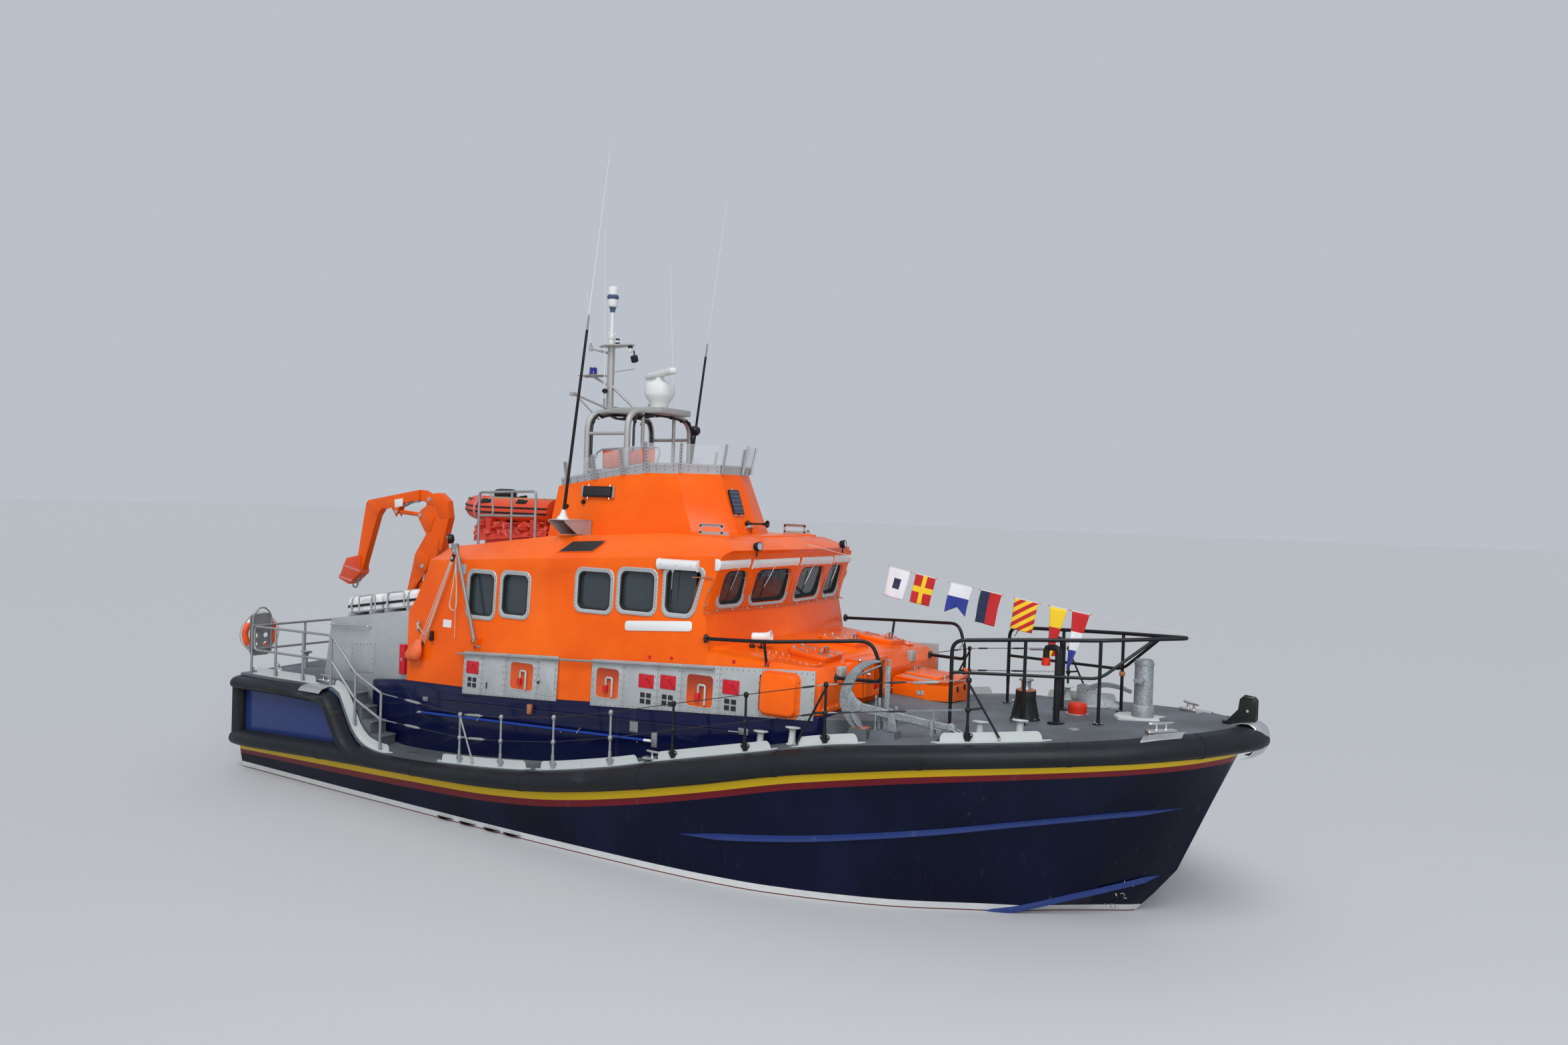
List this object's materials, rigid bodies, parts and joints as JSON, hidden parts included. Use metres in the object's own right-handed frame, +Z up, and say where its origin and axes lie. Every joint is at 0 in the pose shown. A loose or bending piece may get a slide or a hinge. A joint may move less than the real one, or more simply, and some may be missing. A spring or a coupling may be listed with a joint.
{
  "type": "all-weather rescue lifeboat",
  "caption": "Self-righting offshore rescue lifeboat with a closed wheelhouse, flybridge, mast, folding crane, roof tender, guard rails, anchors and twin screws.",
  "frame": {"origin": "on the waterline, on the centreline, at the middle of the hull's length", "axes": "+X forward to the bow, +Y to port, +Z up"},
  "size_m": [17.46, 5.88, 12.2108],
  "materials": {
    "hull_paint": "gloss navy gelcoat with yellow, red and white bands",
    "deck_paint": "matt non-slip grey",
    "fender_rubber": "matt black moulded fender",
    "blue_paint": "gloss navy",
    "orange_paint": "gloss orange paint",
    "alloy": "bare satin alloy",
    "stainless": "brushed stainless steel",
    "bronze": "cast bronze",
    "glazing": "dark toughened glass",
    "black_paint": "gloss black",
    "crane_paint": "gloss orange paint on steel",
    "white_shell": "white moulded shell",
    "white_paint": "gloss white",
    "tender_fabric": "coated orange-red fabric",
    "cover_cloth": "red cover cloth",
    "foam": "orange moulded foam",
    "galvanised": "galvanised, dull grey",
    "console_black": "matt black"
  },
  "bodies": {
    "boat": {"hull": "hull_paint", "deck": "deck_paint", "fender_belt": "fender_rubber", "fender_quarter": "fender_rubber", "bow_fitting": "stainless", "shaft_starboard": "stainless", "shaft_port": "stainless", "house_coaming": "blue_paint", "wheelhouse_walls": "orange_paint", "wheelhouse_roof": "orange_paint", "fore_trunk": "orange_paint", "glazing_starboard": "glazing", "glazing_port": "glazing", "glazing_front": "glazing", "helm_console": "console_black", "side_panels_starboard": "alloy", "side_panels_port": "alloy", "flybridge_tub": "orange_paint", "flybridge_windbreak": "alloy", "mast": "alloy", "whip_aerial_starboard": "black_paint", "whip_aerial_port": "black_paint", "tender": "tender_fabric", "tender_cradle": "cover_cloth", "tender_outboard": "black_paint", "roof_rail_starboard": "alloy", "roof_rail_port": "alloy", "aft_casing": "alloy", "life_rafts": "white_shell", "crane_pedestal": "crane_paint", "quarter_rails": "alloy", "lifebuoy": "foam", "lifelines_starboard": "stainless", "lifelines_port": "stainless", "pulpit": "black_paint", "fore_handrail_starboard": "black_paint", "fore_handrail_port": "black_paint", "deck_locker": "orange_paint", "stocked_anchor": "galvanised", "plough_anchor": "galvanised"},
    "propeller_starboard": {"propeller_starboard": "bronze"},
    "propeller_port": {"propeller_port": "bronze"},
    "rudder_starboard": {"rudder_starboard": "bronze"},
    "rudder_port": {"rudder_port": "bronze"},
    "radar_scanner": {"radar_scanner": "white_paint"},
    "capstan": {"capstan": "black_paint"},
    "hatch_starboard": {"hatch_starboard": "orange_paint"},
    "hatch_centre": {"hatch_centre": "orange_paint"},
    "hatch_port": {"hatch_port": "orange_paint"},
    "deck_locker_lid": {"deck_locker_lid": "orange_paint"},
    "aft_door": {"aft_door": "alloy"},
    "recovery_davit": {"recovery_davit": "alloy"},
    "crane_column": {"crane_column": "crane_paint"},
    "crane_lower_boom": {"crane_lower_boom": "crane_paint"},
    "crane_upper_boom": {"crane_upper_boom": "crane_paint", "jib_cylinder": "crane_paint"},
    "luff_cylinder": {"luff_cylinder": "crane_paint"},
    "luff_rod": {"luff_rod": "stainless"},
    "jib_rod": {"jib_rod": "stainless"}
  },
  "joints": [
    {"name": "propeller_starboard_spin", "type": "hinge", "parent": "boat", "child": "propeller_starboard", "pos_m": [-7.1849, -1.15, -1.15434], "axis": [0.994, 0, 0.1097], "continuous": true},
    {"name": "propeller_port_spin", "type": "hinge", "parent": "boat", "child": "propeller_port", "pos_m": [-7.1849, 1.15, -1.15434], "axis": [0.994, 0, 0.1097], "continuous": true},
    {"name": "steering", "type": "hinge", "parent": "boat", "child": "rudder_starboard", "pos_m": [-7.9, -1.15, -0.58], "axis": [0, 0, 1], "range_deg": [-35, 35]},
    {"name": "rudder_port_turn", "type": "hinge", "parent": "boat", "child": "rudder_port", "pos_m": [-7.9, 1.15, -0.58], "axis": [0, 0, 1], "range_deg": [-35, 35]},
    {"name": "radar_turn", "type": "hinge", "parent": "boat", "child": "radar_scanner", "pos_m": [-0.9, 0, 7.19], "axis": [0, 0, 1], "continuous": true},
    {"name": "capstan_turn", "type": "hinge", "parent": "boat", "child": "capstan", "pos_m": [5.74, -0.57, 2.5], "axis": [0, 0, 1], "continuous": true},
    {"name": "hatch_starboard_hinge", "type": "hinge", "parent": "boat", "child": "hatch_starboard", "pos_m": [2.52326, -1.13244, 3.10846], "axis": [-0.0047, -0.9991, -0.0426], "range_deg": [0, 100]},
    {"name": "hatch_centre_hinge", "type": "hinge", "parent": "boat", "child": "hatch_centre", "pos_m": [2.36068, 0.06137, 3.15743], "axis": [0.0019, -0.9997, 0.024], "range_deg": [0, 100]},
    {"name": "hatch_port_hinge", "type": "hinge", "parent": "boat", "child": "hatch_port", "pos_m": [2.44225, 1.13236, 3.11269], "axis": [0.0041, -0.9991, 0.0413], "range_deg": [0, 100]},
    {"name": "deck_locker_lid_hinge", "type": "hinge", "parent": "boat", "child": "deck_locker_lid", "pos_m": [3.8, 1.295, 2.6039], "axis": [-0.9972, 0, 0.0748], "range_deg": [0, 85]},
    {"name": "aft_door_hinge", "type": "hinge", "parent": "boat", "child": "aft_door", "pos_m": [-6.6003, 1.1, 2.36626], "axis": [-0.1565, 0, -0.9877], "range_deg": [0, 110]},
    {"name": "recovery_davit_swing", "type": "hinge", "parent": "boat", "child": "recovery_davit", "pos_m": [-2.82, -2.12, 2.8], "axis": [1, 0, 0], "range_deg": [0, 60]},
    {"name": "crane_slew", "type": "hinge", "parent": "boat", "child": "crane_column", "pos_m": [-6.9, 0, 2.25], "axis": [0, 0, 1], "range_deg": [-90, 90]},
    {"name": "crane_luff", "type": "hinge", "parent": "crane_column", "child": "crane_lower_boom", "pos_m": [-6.88, 0, 2.95], "axis": [0, 1, 0], "range_deg": [0, 40]},
    {"name": "crane_knuckle", "type": "hinge", "parent": "crane_lower_boom", "child": "crane_upper_boom", "pos_m": [-6.25, 0, 5.02], "axis": [0, 1, 0], "range_deg": [0, 65]},
    {"name": "luff_cylinder_swing", "type": "hinge", "parent": "crane_column", "child": "luff_cylinder", "pos_m": [-6.6, 0, 2.96], "axis": [0, 1, 0], "range_deg": [0, 50.3]},
    {"name": "luff_rod_slide", "type": "slide", "parent": "luff_cylinder", "child": "luff_rod", "axis": [0.26, 0, 0.9656], "range_m": [-0.144, 0]},
    {"name": "jib_rod_slide", "type": "slide", "parent": "crane_upper_boom", "child": "jib_rod", "axis": [0.9975, 0, -0.0712], "range_m": [0, 0.416]}
  ],
  "couplings": [
    {"joint": "rudder_port_turn", "follows": "steering", "ratio": 1},
    {"joint": "luff_cylinder_swing", "follows": "crane_luff", "ratio": 1.2503},
    {"joint": "luff_rod_slide", "follows": "crane_luff", "m_per_rad": -0.2044},
    {"joint": "jib_rod_slide", "follows": "crane_knuckle", "m_per_rad": 0.36564}
  ]
}
